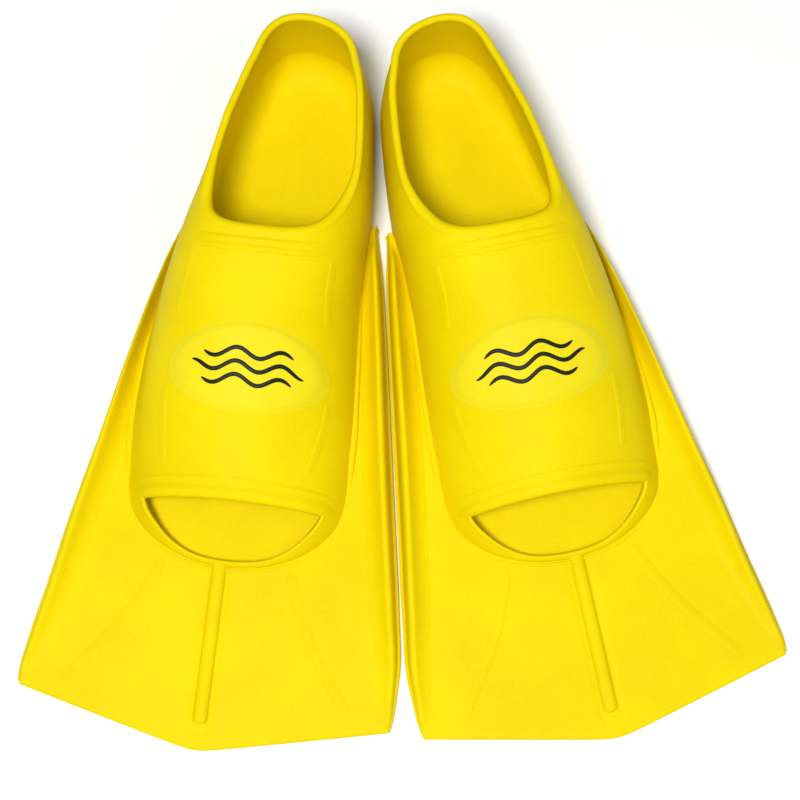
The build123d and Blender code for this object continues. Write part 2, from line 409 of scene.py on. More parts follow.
def upper_angle(s, share):
    """Section angle over the top of the foot, share 0 at the medial wall and 1 at the lateral."""
    edge = edge_angle(s)
    return edge + (pi - 2 * edge) * share


def rim_point(theta):
    """(station, share) of the foot opening's front edge: a squared-off half ellipse."""
    share = 0.5 - 0.5 * power(cos(theta), 2 / RIM_ROUND)
    s = HEEL_START + (RIM_FRONT - HEEL_START) * abs(sin(theta)) ** (2 / RIM_ROUND)
    return s, share


def spline(points, steps):
    """Points on a smooth curve through all but the first and last of the given points."""
    result = []
    for i in range(1, len(points) - 2):
        a, b, c, d = [Vector(p) for p in points[i - 1:i + 3]]
        square = 2 * a - 5 * b + 4 * c - d
        cube = 3 * b - a - 3 * c + d
        for k in range(steps):
            t = k / steps
            result.append(0.5 * (2 * b + (c - a) * t + square * t**2 + cube * t**3))
    result.append(Vector(points[-2]))
    return result


def floor_point(s, side):
    """Plan point at the foot of the wall."""
    centre, half = pocket(s)[:2]
    return (centre + side * half, s)


def toe_outline(phi, out=0.0):
    """Plan point of the half ellipse round the toe, some way out from the foot of the wall."""
    half = pocket(TOE_HUB[1])[1] + out
    return (TOE_HUB[0] + half * cos(phi), TOE_HUB[1] + (TOE_LENGTH + out) * sin(phi))


def heel_path():
    """Plan outline round the heel, from the medial to the lateral ankle."""
    medial = [floor_point(s, 1) for s in (HEEL_LEAD, HEEL_START)]
    lateral = [floor_point(s, -1) for s in (HEEL_START, HEEL_LEAD)]
    points = medial + HEEL_OUTLINE + lateral
    return spline(points, HEEL_STEPS // (len(points) - 3))


def inward(path, i, hub):
    """Unit direction from a plan point toward the middle, square to the outline."""
    before, after = path[max(i - 1, 0)], path[min(i + 1, len(path) - 1)]
    tangent = (after - before).normalized()
    normal = Vector((-tangent.y, tangent.x))
    return normal if normal.dot(Vector(hub) - path[i]) > 0 else -normal


def heel_inset(s, z):
    """How far the heel's wall stands in from the floor outline: arch-like at the ankles."""
    half, crest, square = pocket(HEEL_START)[1:]
    lift = clamp(z / crest) ** square
    ankle = half * (1 - (1 - lift) ** (1 / square))
    side, back = curve(HEEL_LEAN, z)
    return mix(ankle, mix(side, back, ease(s, *HEEL_BACK_EASE)), ease(s, *HEEL_EASE))


def wall_column(s, side):
    """Wall's points at a station, from just above the floor to the rim."""
    crest, square = pocket(s)[2:]
    first = asin((SHELL_FOOT / crest) ** (square / 2))
    angles = [mix(first, edge_angle(s), j / WALL_ROWS) for j in range(WALL_ROWS + 1)]
    return [arch(s, a if side > 0 else pi - a) for a in angles]


def heel_columns():
    """Wall columns round the heel: lists of points from the foot to the rim."""
    path = heel_path()
    hub = (pocket(HEEL_START)[0], HEEL_START)
    heights = [p.z for p in wall_column(HEEL_START, 1)]
    columns = []
    for i, foot in enumerate(path):
        direction = inward(path, i, hub)
        column = []
        for z in heights:
            place = foot + direction * heel_inset(foot.y, z)
            column.append(Vector((place.x, place.y, z)))
        columns.append(column)
    columns[0] = wall_column(HEEL_START, 1)
    columns[-1] = wall_column(HEEL_START, -1)
    return columns


def side_columns(side):
    """Wall columns from the ankle to the toe lip on one side."""
    stations = [mix(HEEL_START, LIP_STATION, i / UPPER_ROWS) for i in range(UPPER_ROWS + 1)]
    return [wall_column(s, side) for s in stations]


def toe_column(phi, turn, corner):
    """Wall column at an angle round the toe, a turn away from the lip's corner column."""
    centre, half = pocket(LIP_STATION)[:2]
    foot = Vector(toe_outline(phi))
    to_hub = (Vector(TOE_HUB) - foot).normalized()
    square = Vector((-copysign(1, cos(phi)), 0))
    direction = square.lerp(to_hub, smooth(turn / TOE_TURN)).normalized()
    front = smooth(turn / TOE_CORNER)
    column = []
    for j in range(WALL_ROWS + 1):
        up = j / WALL_ROWS * pi / 2
        front_inset = TOE_EDGE_INSET * (1 - cos(up)) ** TOE_EDGE_BOW
        front_height = mix(SHELL_FOOT, TOE_EDGE_HEIGHT, sin(up))
        inset = mix(centre + half - corner[j].x, front_inset, front)
        place = foot + direction * inset
        column.append(Vector((place.x, place.y, mix(corner[j].z, front_height, front))))
    return column


def toe_columns():
    """Wall columns round the open toe, from the medial to the lateral lip corner."""
    corner = wall_column(LIP_STATION, 1)
    first = asin((LIP_STATION - TOE_HUB[1]) / TOE_LENGTH)
    columns = []
    for i in range(TOE_STEPS + 1):
        phi = mix(first, pi - first, i / TOE_STEPS)
        columns.append(toe_column(phi, min(phi, pi - phi) - first, corner))
    columns[0] = side_columns(1)[-1]
    columns[-1] = side_columns(-1)[-1]
    return columns


def upper_lines():
    """Lines over the top of the foot, from the foot opening's rim to the toe lip."""
    crowded = (1, 2, UPPER_LINES - 2, UPPER_LINES - 1)
    lines = []
    for m in range(UPPER_LINES + 1):
        if m in crowded:
            continue
        start, share = rim_point(pi * m / UPPER_LINES)
        if m in (0, UPPER_LINES):
            start, share = HEEL_START, m / UPPER_LINES
        stations = [mix(start, LIP_STATION, i / UPPER_ROWS) for i in range(UPPER_ROWS + 1)]
        lines.append([arch(s, upper_angle(s, share)) for s in stations])
    return lines


# ---- pieces of the foot pocket

def aim_outward(piece, middle):
    """Turns an open skin's faces away from a point inside it."""
    mesh = piece.data
    vote = sum(f.area if f.normal.dot(f.center - middle) > 0 else -f.area for f in mesh.polygons)
    if vote < 0:
        mesh.flip_normals()


def apply_modifiers(piece):
    """Writes a piece's modifiers into its mesh."""
    graph = bpy.context.evaluated_depsgraph_get()
    done = bpy.data.meshes.new_from_object(piece.evaluated_get(graph))
    piece.modifiers.clear()
    old = piece.data
    piece.data = done
    bpy.data.meshes.remove(old)


def foot_pocket_shell(fin, material):
    """Heel wall, ankle walls and upper as one skin, open at the ankle and over the toes."""
    points, faces = [], []
    strips = [heel_columns(), side_columns(1), side_columns(-1), toe_columns(), upper_lines()]
    for columns in strips:
        faces.extend(strip_faces(len(columns), len(columns[0]), base=len(points)))
        points.extend(flat_list(columns))
    piece = fin.piece("foot_pocket", points, faces, material, weld=SHELL_WELD)
    s, z = POCKET_INSIDE
    aim_outward(piece, fin.at((pocket(s)[0], s, z)))
    solid = piece.modifiers.new("wall", "SOLIDIFY")
    solid.thickness = WALL * MM
    solid.offset = -1
    solid.use_even_offset = False
    apply_modifiers(piece)
    fin.finish(piece, ["heel_cup", "instep_upper"], moves="heel")


def tube(fin, name, path, material, loop=False):
    """Round bead along a path of (point, radius, side direction); open ends are flat."""
    sections = []
    count = len(path)
    angles = [2 * pi * k / BEAD_SIDES for k in range(BEAD_SIDES)]
    for i, (point, radius, side) in enumerate(path):
        before = path[i - 1][0] if i or loop else point
        after = path[(i + 1) % count][0] if i + 1 < count or loop else point
        forward = (after - before).normalized()
        side = (side - forward * side.dot(forward)).normalized()
        other = forward.cross(side)
        sections.append([point + (side * cos(a) + other * sin(a)) * radius for a in angles])
    return swept(fin, name, sections, material, loop=loop)


def rim_path():
    """Foot opening's edge all the way round: (point, outward direction, share of the front)."""
    path = []
    for column in heel_columns()[::-1]:
        top = column[-1]
        wall = (top - column[-3]).normalized()
        out = Vector((top.x - RIM_MIDDLE[0], top.y - RIM_MIDDLE[1], 0)).normalized()
        path.append((top, (out - wall * out.dot(wall)).normalized(), 0.0))
    for m in range(1, RIM_STEPS):
        s, share = rim_point(pi * m / RIM_STEPS)
        angle = upper_angle(s, share)
        path.append((arch(s, angle), arch_normal(s, angle), ease(s, *COLLAR_EASE)))
    return path


def even_path(path, count):
    """A closed path of (point, radius, direction) resampled at even distances."""
    points = path + path[:1]
    lengths = [0.0]
    for a, b in zip(points, points[1:]):
        lengths.append(lengths[-1] + (b[0] - a[0]).length)
    result = []
    k = 0
    for i in range(count):
        goal = lengths[-1] * i / count
        while lengths[k + 1] < goal:
            k += 1
        t = (goal - lengths[k]) / max(lengths[k + 1] - lengths[k], 1e-9)
        a, b = points[k], points[k + 1]
        result.append((a[0].lerp(b[0], t), mix(a[1], b[1], t), a[2].lerp(b[2], t)))
    return result


def collar(fin, material):
    """Thick rounded edge of the foot opening, flush with the wall's outer face."""
    path = []
    for point, out, front in rim_path():
        radius = mix(*COLLAR_RADII, front)
        lift = mix(*COLLAR_LIFT, front)
        path.append((point - out * (radius - lift), radius, out))
    piece = tube(fin, "collar", even_path(path, COLLAR_STEPS), material, loop=True)
    fin.finish(piece, ["heel_bead", "collar_bead"], moves="heel")


def side_foot(s, side):
    """Foot of the side wall, the middle it faces and the radius of the bed's fillet."""
    fillet = mix(FILLET["ankle"], FILLET["toe"], ease(s, *FILLET_TOE_EASE))
    return Vector(floor_point(s, side)), Vector((pocket(s)[0], s)), fillet


def footbed_rim():
    """The same round the whole sole: heel, lateral side, toe, medial side."""
    hub = Vector((pocket(HEEL_START)[0], HEEL_START))
    rim = []
    for foot in heel_path():
        fillet = mix(FILLET["ankle"], FILLET["heel"], ease(foot.y, *FILLET_BACK_EASE))
        rim.append((foot, hub, fillet))
    length = TOE_HUB[1] - HEEL_START
    stations = [HEEL_START + length * i / BED_STEPS for i in range(1, BED_STEPS + 1)]
    rim += [side_foot(s, -1) for s in stations]
    for i in range(1, TOE_STEPS):
        foot = Vector(toe_outline(pi - pi * i / TOE_STEPS))
        rim.append((foot, Vector(TOE_HUB), FILLET["front"]))
    rim += [side_foot(s, 1) for s in reversed(stations)]
    return rim


def footbed_profile(reach, fillet):
    """(inset, height) from the underside's middle out, up the wall and back over the bed."""
    profile = [(reach, 0.0), (reach * 0.6, 0.0), (reach * 0.25, 0.0), (3.4, 0.0)]
    profile += [(1.9, 0.25), (0.9, 0.9), (0.5, 1.8), (0.55, 3.0), (1.2, 5.2)]
    profile.append((2.2, 5.2 + fillet * 0.8))
    for k in range(FILLET_STEPS + 1):
        angle = pi / 2 * k / FILLET_STEPS
        inset = BED_WALL + fillet * (1 - cos(angle))
        profile.append((inset, BED_HEIGHT + fillet * (1 - sin(angle))))
    flat = BED_WALL + fillet
    for share in (0.15, 0.35, 0.6, 0.8, 1.0):
        profile.append((mix(flat, reach, share), BED_HEIGHT - BED_DIP * smooth(share)))
    return profile


def footbed(fin, material):
    """Sole with a flat underside and a bowl-shaped footbed that runs up the walls."""
    sections = []
    for foot, middle, fillet in footbed_rim():
        reach = (middle - foot).length
        way = (middle - foot).normalized()
        profile = footbed_profile(reach, fillet)
        sections.append([Vector((*(foot + way * inset), z)) for inset, z in profile])
    faces = strip_faces(len(sections), len(sections[0]), loop=True)
    piece = fin.piece("footbed", flat_list(sections), faces, material)
    fin.finish(piece, ["heel_sole", "sole"], moves="heel")


RIDGE_SUNK = -0.35
RIDGE_FADE = 0.12
BAND_PROFILE = [
    (-5.2, -0.5), (-4.2, 0.05), (-3.2, 0.55), (-2.3, 0.78), (-1.4, 0.62), (-0.7, 0.35),
    (0.0, 0.5), (0.8, 0.92), (1.7, 1.05), (2.6, 0.75), (3.3, 0.2), (3.9, -0.5),
    (2.0, -1.4), (-3.0, -1.4),
]
BAND_STATION = 133.0
BAND_BOW = 16.0
BAND_SHARES = (0.13, 0.87)
BAND_STEPS = 120
BAND_FADE = 0.3


def ridge_on_upper(fin, name, path, profile, material, fade=RIDGE_FADE):
    """Fine raised line on the upper: path of (station, angle), profile of (across, lift)."""
    sections = []
    last = len(path) - 1
    for i, (s, angle) in enumerate(path):
        here = arch(s, angle)
        ahead = arch(*path[min(i + 1, last)]) - arch(*path[max(i - 1, 0)])
        normal = arch_normal(s, angle)
        across = ahead.normalized().cross(normal).normalized()
        strength = ends_fade(i / last, 1, fade)
        outline = []
        for a, lift in profile:
            outline.append(here + across * a + normal * faded(lift, strength, RIDGE_SUNK))
        sections.append(outline)
    return swept(fin, name, sections, material)


def instep_band(fin, material):
    """Double ridge across the instep, a finger's width in front of the opening."""
    path = []
    for i in range(BAND_STEPS + 1):
        share = mix(*BAND_SHARES, i / BAND_STEPS)
        side = abs(share - 0.5) / 0.5
        s = BAND_STATION - BAND_BOW * side ** 2.6
        path.append((s, upper_angle(s, share)))
    piece = ridge_on_upper(fin, "instep_band", path, BAND_PROFILE, material, fade=BAND_FADE)
    fin.finish(piece, ["instep_band"])


LIP_PROFILE = [
    (-11.0, -0.5), (-10.2, 0.0), (-9.4, 0.3), (-8.7, 0.36), (-8.0, 0.2), (-7.2, 0.02),
    (-6.0, 0.04), (-4.9, 0.3), (-3.8, 0.8), (-2.7, 1.08), (-1.5, 1.0), (-0.4, 0.6),
    (0.6, -0.1), (1.1, -1.0), (1.0, -2.0), (0.3, -2.7), (-1.0, -2.95), (-3.0, -2.8),
    (-6.0, -1.9), (-10.5, -1.5),
]
LIP_REACH = 0.24
LIP_STEPS = 130
LIP_SUNK = -0.4
LIP_FADE = 0.14


def toe_lip(fin, material):
    """Bead along the upper's front edge with a fine line behind it."""
    edge = edge_angle(LIP_STATION)
    sections = []
    for i in range(LIP_STEPS + 1):
        share = i / LIP_STEPS
        angle = mix(edge - LIP_REACH, pi - edge + LIP_REACH, share)
        along = (arch(LIP_STATION + 1, angle) - arch(LIP_STATION - 1, angle)).normalized()
        strength = ends_fade(share, 1, LIP_FADE)
        outline = []
        for ahead, lift in LIP_PROFILE:
            lift = faded(lift, strength, LIP_SUNK)
            place = arch_lift(LIP_STATION + min(ahead, 0), angle, lift)
            outline.append(place + along * max(ahead, 0))
        sections.append(outline)
    piece = swept(fin, "toe_lip", sections, material)
    fin.finish(piece, ["toe_lip"])


def toe_rim(fin, material):
    """Rounded edge of the toe opening, from one lip corner round the front to the other."""
    path = []
    for column in toe_columns():
        wall = (column[-1] - column[-4]).normalized()
        normal = (Vector(UP) - wall * wall.z).normalized()
        path.append((column[-1] - normal * (TOE_BEAD - TOE_BEAD_LIFT), TOE_BEAD, normal))
    piece = tube(fin, "toe_rim", path, material)
    fin.finish(piece, ["toe_rim"])


TOE_LINE = {"angles": (38, 142), "out": 0.8, "sink": 0.25, "radii": (0.2, 0.85)}
TOE_LINE_STEPS = 80
WELT_START = {1: 112, -1: 140}
WELT = {"end": 258, "in": 0.6, "heights": (5.6, 8.6), "radii": (0.7, 2.3)}
WELT_STEPS = 90
WELT_FADE = 26


def toe_line(fin, material):
    """Fine raised line round the foot of the toe, on the blade."""
    path = []
    first, last = [radians(a) for a in TOE_LINE["angles"]]
    for i in range(TOE_LINE_STEPS + 1):
        x, s = toe_outline(mix(first, last, i / TOE_LINE_STEPS), TOE_LINE["out"])
        radius = mix(*TOE_LINE["radii"], ends_fade(i, TOE_LINE_STEPS, WELT_FADE))
        path.append((Vector((x, s, plate_at(s)[0] - TOE_LINE["sink"])), radius, Vector(UP)))
    piece = tube(fin, "toe_line", path, material)
    fin.finish(piece, [], moves="blade")


def welt(fin, side, name, material):
    """Bead along the foot of the pocket's wall, from the ankle to the toe."""
    path = []
    for i in range(WELT_STEPS + 1):
        x, s = floor_point(mix(WELT_START[side], WELT["end"], i / WELT_STEPS), side)
        end = ends_fade(i, WELT_STEPS, WELT_FADE)
        place = Vector((x - side * WELT["in"], s, mix(*WELT["heights"], end)))
        path.append((place, mix(*WELT["radii"], end), Vector(UP)))
    piece = tube(fin, name, path, material)
    fin.finish(piece, [])


PAD = {"centre": (6.0, 192.5), "size": (41.5, 22.5), "rise": 1.1, "edge": 0.17}
PAD_STEPS = 128
PAD_RADII = [0, 0.15, 0.3, 0.45, 0.6, 0.72, 0.8, 0.85, 0.885, 0.915, 0.945, 0.97, 0.99, 1.0, 1.01]
PAD_UNDER_RADII = (0.7, 0.35, 0)
PAD_UNDER = -0.9
PAD_SKIRT = 0.6


def pad_point(x, s, lift):
    """Point a lift above the upper at a plan place."""
    return arch_lift(s, arch_angle(s, x), lift)


def pad_ring_point(r, angle, lift):
    """The same at a share of the pad's half axes."""
    x = PAD["centre"][0] + PAD["size"][0] * r * cos(angle)
    s = PAD["centre"][1] + PAD["size"][1] * r * sin(angle)
    return pad_point(x, s, lift)


def pad_height(r):
    """Lift of the pad's top, round at the edge and under the upper's surface beyond it."""
    fall = smooth((r - 1 + PAD["edge"]) / PAD["edge"])
    return PAD["rise"] * (1 - fall) - (PAD_SKIRT if r > 1 else 0)


def label_pad(fin, material):
    """Raised oval pad with a soft edge."""
    sections = []
    for k in range(PAD_STEPS):
        angle = 2 * pi * k / PAD_STEPS
        top = [pad_ring_point(r, angle, pad_height(r)) for r in PAD_RADII]
        under = [pad_ring_point(r, angle, PAD_UNDER) for r in PAD_UNDER_RADII]
        sections.append(top + under)
    faces = strip_faces(PAD_STEPS, len(sections[0]), loop=True)
    piece = fin.piece("label_pad", flat_list(sections), faces, material)
    fin.finish(piece, ["label_pad"])


MARK = {"length": 56, "swing": 2.3, "stroke": 2.3, "pitch": 6.6, "waves": 2.5, "lift": 0.16}
MARK_OUTER = 0.8
MARK_SWELL = 0.35
MARK_THINNEST = 0.12
MARK_SINK = 0.12
MARK_SECTION = ((-1, -0.1), (-0.9, 0.6), (-0.3, 1), (0.3, 1), (0.9, 0.6), (1, -0.1))
MARK_STEPS = 90


def wave_section(row, share):
    """Outline of a stroke at a share of its length; row -1, 0 or 1 tells which of the three."""
    length = MARK["length"] * (1 if row == 0 else MARK_OUTER)
    x = PAD["centre"][0] + length * (share - 0.5)
    turn = 2 * pi * MARK["waves"] * length / MARK["length"] * (share - 0.5)
    middle = PAD["centre"][1] + row * MARK["pitch"] + MARK["swing"] * sin(turn)
    ends = sqrt(max(0.0, 1 - (2 * share - 1) ** 8))
    wide = MARK["stroke"] / 2 * ends * sqrt(1 + MARK_SWELL * cos(turn) ** 2)
    wide = max(wide, MARK_THINNEST)
    outline = []
    for across, rise in MARK_SECTION:
        lift = PAD["rise"] - MARK_SINK + (MARK["lift"] + MARK_SINK) * max(rise, 0) + min(rise, 0)
        outline.append(pad_point(x, middle + across * wide, lift))
    return outline


def printed_mark(fin, material):
    """Three wave strokes printed on the pad: a plain water sign."""
    points, faces = [], []
    for row in (-1, 0, 1):
        sections = [wave_section(row, i / MARK_STEPS) for i in range(MARK_STEPS + 1)]
        faces.extend(swept_faces(len(sections), len(MARK_SECTION), base=len(points)))
        points.extend(flat_list(sections))
    piece = fin.piece("printed_mark", points, faces, material, weld=FINE_WELD)
    fin.finish(piece, ["printed_mark"], slot="mark_print")


PANEL_PROFILE = [
    (-1.6, -0.4), (-0.8, 0.06), (-0.2, 0.24), (0.5, 0.3), (1.4, 0.22), (3.2, 0.08),
    (5.2, -0.4), (2.0, -1.0),
]
PANEL_STEPS = 60
PANEL_LINES = {
    "medial_panel_rear": [(131, 42), (141, 41.3), (150, 41), (160, 41.8), (168, 43)],
    "medial_panel_front": [(200, 46.5), (210, 46), (221, 44.2), (232, 41.8), (242, 38.6)],
    "lateral_panel_rear": [(131, -27), (141, -29), (150, -30.6), (160, -32.4), (168, -33.2)],
    "lateral_panel_front": [(200, -34.8), (210, -34.7), (221, -34.2), (232, -33), (242, -31.4)],
}


def panel_line(fin, name, rows, material):
    """Fine edge of the raised panel along the middle of the upper."""
    path = []
    for i in range(PANEL_STEPS + 1):
        s = mix(rows[0][0], rows[-1][0], i / PANEL_STEPS)
        path.append((s, arch_angle(s, curve(rows, s)[0])))
    if name.startswith("lateral"):
        path.reverse()
    piece = ridge_on_upper(fin, name, path, PANEL_PROFILE, material)
    fin.finish(piece, [])


# ---- blade

def edge_at(s, side):
    """Outer edge of the fin at a station."""
    medial, lateral = curve(EDGE, s)
    return medial if side > 0 else lateral


def plate_at(s):
    """Heights of the plate's top and underside."""
    return curve(PLATE, s)


def trailing(x):
    """Station of the trailing edge: a shallow V with a round apex."""
    off = x - APEX[0]
    sweep = SWEEP[1 if off > 0 else -1]
    return APEX[1] - sweep * (sqrt(off * off + APEX_ROUND**2) - APEX_ROUND)


def toe_front(x, inset):
    """Station of the toe's front on the blade, at a given x."""
    half = pocket(TOE_HUB[1])[1] - inset
    along = sqrt(max(0.0, 1 - ((x - TOE_HUB[0]) / half) ** 2))
    return TOE_HUB[1] + (TOE_LENGTH - inset) * along


# Rays over the blade, from the foot of the pocket to the outer edge, by g from 0 beside the
# centre rib to 1 at the web's root: (g, angle round the toe in degrees, station beside the
# pocket, x on the trailing edge, way back from the corner along the side)
RAYS = [
    (0.00, 82, 248, 12, 0),
    (0.22, 57, 248, 77.5, 0),
    (0.32, 40, 248, 93, 0),
    (0.50, 17, 248, 93, 38),
    (0.62, 0, 248, 93, 84),
    (0.80, 0, 205, 93, 144),
]
STEP_RAY = 0.22
CORNER_RAY = 0.32
WEB_RAY = 0.8
WEB_START = 205
TIP_X = 93
RAY_STEPS = 70
NO_ANGLE = 0.01
BEND = [(0.0, 0.0), (0.22, 9.0), (0.32, 1.0), (0.4, 0.0), (1.0, 0.0)]
BEND_BACK = 0.35

# Rays between the two sides' first ones, beside the rib
MIDDLE_STEPS = 30
MIDDLE_HALF = 11.4
MIDDLE_NARROW = 0.64


def ray_ends(g, side):
    """Plan points where a ray leaves the pocket's foot and where it meets the outer edge."""
    angle, beside, tip_x, back = curve(RAYS, min(g, WEB_RAY))
    corner_x = edge_at(CORNER_STATION, side) - side * CORNER_INSET
    edge_s = trailing(corner_x) - CORNER_GAP - back
    if g > WEB_RAY:
        share = (g - WEB_RAY) / (1 - WEB_RAY)
        beside = mix(WEB_START, WEB_ROOTS[side], share)
        edge_s = mix(edge_s, WEB_ROOTS[side] + CORNER_GAP, share)
    if angle > NO_ANGLE:
        x, s = toe_outline(radians(angle), -PLATE_INSET)
        inner = (TOE_HUB[0] + side * (x - TOE_HUB[0]), s)
    else:
        x, s = floor_point(beside, side)
        inner = (x - side * PLATE_INSET, s)
    if g <= CORNER_RAY:
        x = side * tip_x * abs(corner_x) / TIP_X
        outer = (x, trailing(x))
    else:
        inset = mix(CORNER_INSET, WEB_INSET, ease(edge_s, *WEB_EASE))
        outer = (edge_at(edge_s, side) - side * inset, edge_s)
    return inner, outer


def blade_rays():
    """Plan rays from the lateral root round the toe to the medial root, each with its bend."""
    shares = [i / RAY_STEPS for i in range(RAY_STEPS + 1)]
    lateral = [(ray_ends(g, -1), (g, -1)) for g in reversed(shares)]
    medial = [(ray_ends(g, 1), (g, 1)) for g in shares]
    middle = []
    for i in range(MIDDLE_STEPS + 1):
        x = mix(-MIDDLE_HALF, MIDDLE_HALF, i / MIDDLE_STEPS)
        inner_x = TOE_HUB[0] + MIDDLE_NARROW * x
        ends = ((inner_x, toe_front(inner_x, PLATE_INSET)), (x, trailing(x)))
        middle.append((ends, None))
    return lateral + middle + medial


def groove(x, s):
    """Depth of the fine grooves along both sides of the centre rib and round its end."""
    ahead = max(0.0, s - RIB[1] + 1)
    off = hypot(x, ahead)
    return GROOVE_DEPTH * ease(s, *GROOVE_EASE) * exp(-((off - GROOVE_MIDDLE) / GROOVE_WIDTH) ** 2)


def ray_point(inner, outer, bend, w):
    """Plan point along a ray; bent rays bow toward the middle line."""
    x, s = mix(inner[0], outer[0], w), mix(inner[1], outer[1], w)
    if bend:
        g, side = bend
        bow = 4 * w * (1 - w) * curve(BEND, g)[0]
        x -= side * bow
        s -= BEND_BACK * bow
    return x, s


EDGE_ROOM = 1.3
UNDER_SHARES = (1.0, 0.8, 0.6, 0.4, 0.2, 0.0)


def plate_section(inner, outer, bend):
    """Outline along a ray: grooved top, rounded edge and flat underside."""
    top, under = plate_at(outer[1])
    half = (top - under) / 2
    reach = (Vector(inner) - Vector(outer)).length
    back = (Vector(inner) - Vector(outer)) / reach
    limit = 1 - EDGE_ROOM * half / reach
    section = []
    for i in range(PLATE_STEPS + 1):
        x, s = ray_point(inner, outer, bend, i / PLATE_STEPS * limit)
        section.append(Vector((x, s, plate_at(s)[0] - groove(x, s))))
    for k in range(PLATE_EDGE_STEPS + 1):
        angle = pi * k / PLATE_EDGE_STEPS
        x, s = Vector(outer) + back * half * (1 - sin(angle))
        section.append(Vector((x, s, under + half + half * cos(angle))))
    for w in UNDER_SHARES:
        x, s = ray_point(inner, outer, bend, w * limit)
        section.append(Vector((x, s, plate_at(s)[1])))
    return section


def blade(fin, material):
    """Webs and blade as one plate with a rounded trailing edge."""
    sections = [plate_section(inner, outer, bend) for (inner, outer), bend in blade_rays()]
    piece = swept(fin, "blade", sections, material)
    fin.finish(piece, ["blade", "medial_web", "lateral_web"], moves="blade")


# Rail's outline as (inset from the outer edge, height, kind): a foot point's height is in
# millimetres, an outer one's is a share from flange to crown, an inner one's from plate to crown
RAIL_PROFILE = [
    (1.2, 0.0, "foot"), (0.25, 0.35, "foot"), (0.0, 1.2, "foot"), (0.0, 2.3, "foot"),
    (0.35, 2.9, "foot"), (1.2, 3.15, "foot"), (1.7, 0.04, "outer"), (2.15, 0.3, "outer"),
    (2.8, 0.6, "outer"), (3.6, 0.83, "outer"), (4.5, 0.955, "outer"), (5.6, 1.0, "outer"),
    (6.6, 0.975, "inner"), (7.4, 0.87, "inner"), (8.4, 0.69, "inner"), (9.7, 0.48, "inner"),
    (11.2, 0.305, "inner"), (12.8, 0.165, "inner"), (14.4, 0.07, "inner"),
    (15.9, 0.012, "inner"), (16.6, -0.04, "inner"), (17.0, 1.2, "foot"), (16.2, 0.0, "foot"),
]
FLANGE_INSET = 1.7
FLANGE_WIDTH = 0.8
FLANGE_BASE = 0.5
CROWN_LEAST = 0.1
RAIL_IN_WALL = 1.6


def keep_outside(x, s, z, side):
    """Stops a point from coming through the pocket's wall."""
    centre, half, crest, square = pocket(s)
    width = half * (1 - clamp(z / crest) ** square) ** (1 / square)
    wall = centre + side * (width - RAIL_IN_WALL)
    return max(x, wall) if side > 0 else min(x, wall)


def rail_height(height, kind, inset, crown, top):
    """Height of a point of the rail's outline under a crown."""
    if kind == "outer":
        return mix(FLANGE, max(crown, FLANGE + CROWN_LEAST), height)
    if kind == "inner":
        return mix(top, max(crown, top), height)
    if inset < FLANGE_INSET:
        return height * min(1.0, (crown - FLANGE_BASE) / FLANGE)
    return height


def rail(fin, side, name, material):
    """Side rail: thin flange, rounded crown and a long inner flank that runs into the blade."""
    sections = []
    for i in range(RAIL_STEPS + 1):
        station = mix(RAIL[0][0], RAIL[-1][0], i / RAIL_STEPS)
        s = station + RAIL_EXTRA[side] * ease(station, *RAIL_EXTRA_EASE)
        crown, wide_medial, wide_lateral = curve(RAIL, station)
        wide = wide_medial if side > 0 else wide_lateral
        top = plate_at(s)[0] - RAIL_SINK
        swell = mix(*RAIL_SWELL[side], ease(station, *SWELL_BLADE_EASE))
        swell *= ease(station, *SWELL_ROOT_EASE) * ease(station, *SWELL_TIP_EASE)
        outline = []
        for inset, height, kind in RAIL_PROFILE:
            flange = kind == "foot" and inset < FLANGE_INSET
            shrink = min(1.0, wide / FLANGE_WIDTH) if flange else wide
            z = rail_height(height, kind, inset, crown, top)
            x = edge_at(s, side) - side * inset * shrink + swell
            if s < TOE_HUB[1]:
                x = keep_outside(x, s, z, side)
            outline.append(Vector((x, s, z)))
        sections.append(outline)
    piece = swept(fin, name, sections, material)
    fin.finish(piece, [name, f"{name}_root"], moves="blade")


RIB_STEPS = 90
RIB_SIDES = 14
RIB_THINNEST = 0.08
RIB_START_RISE = 0.75
RIB_START_EASE = (RIB[0], 8)
RIB_ROOT_WIDTH = 0.8


def centre_rib(fin, material):
    """Half-round stiffener with a rounded tip down the middle of the blade."""
    sections = []
    for i in range(RIB_STEPS + 1):
        s = mix(*RIB, i / RIB_STEPS)
        left = min((RIB[1] - s) / RIB_TIP, 1.0)
        size = max(sqrt(max(0.0, 1 - (1 - left) ** 2)), RIB_THINNEST)
        top = plate_at(s)[0]
        rise = RIB_RISE * mix(RIB_START_RISE, 1.0, ease(s, *RIB_START_EASE)) + RIB_SINK
        wide = RIB_RADIUS * size
        outline = []
        for k in range(RIB_SIDES + 1):
            angle = pi * k / RIB_SIDES
            z = top - RIB_SINK + rise * size * sin(angle)
            outline.append(Vector((wide * cos(angle), s, z)))
        for side in (-1, 1):
            outline.append(Vector((side * wide * RIB_ROOT_WIDTH, s, top - RIB_ROOT)))
        sections.append(outline)
    piece = swept(fin, "centre_rib", sections, material)
    fin.finish(piece, ["centre_rib"], moves="blade")


STEP_PROFILE = [
    (-1.4, -0.3), (-0.7, 0.1), (0.0, 0.3), (0.9, 0.3), (2.0, 0.18), (4.0, 0.06),
    (6.2, -0.3), (2.5, -0.9),
]
STEP_REACH = (0.05, 0.965)
STEP_STEPS = 70
STEP_FADE = 8
STEP_SUNK = -0.25
STEP_AHEAD = 0.01


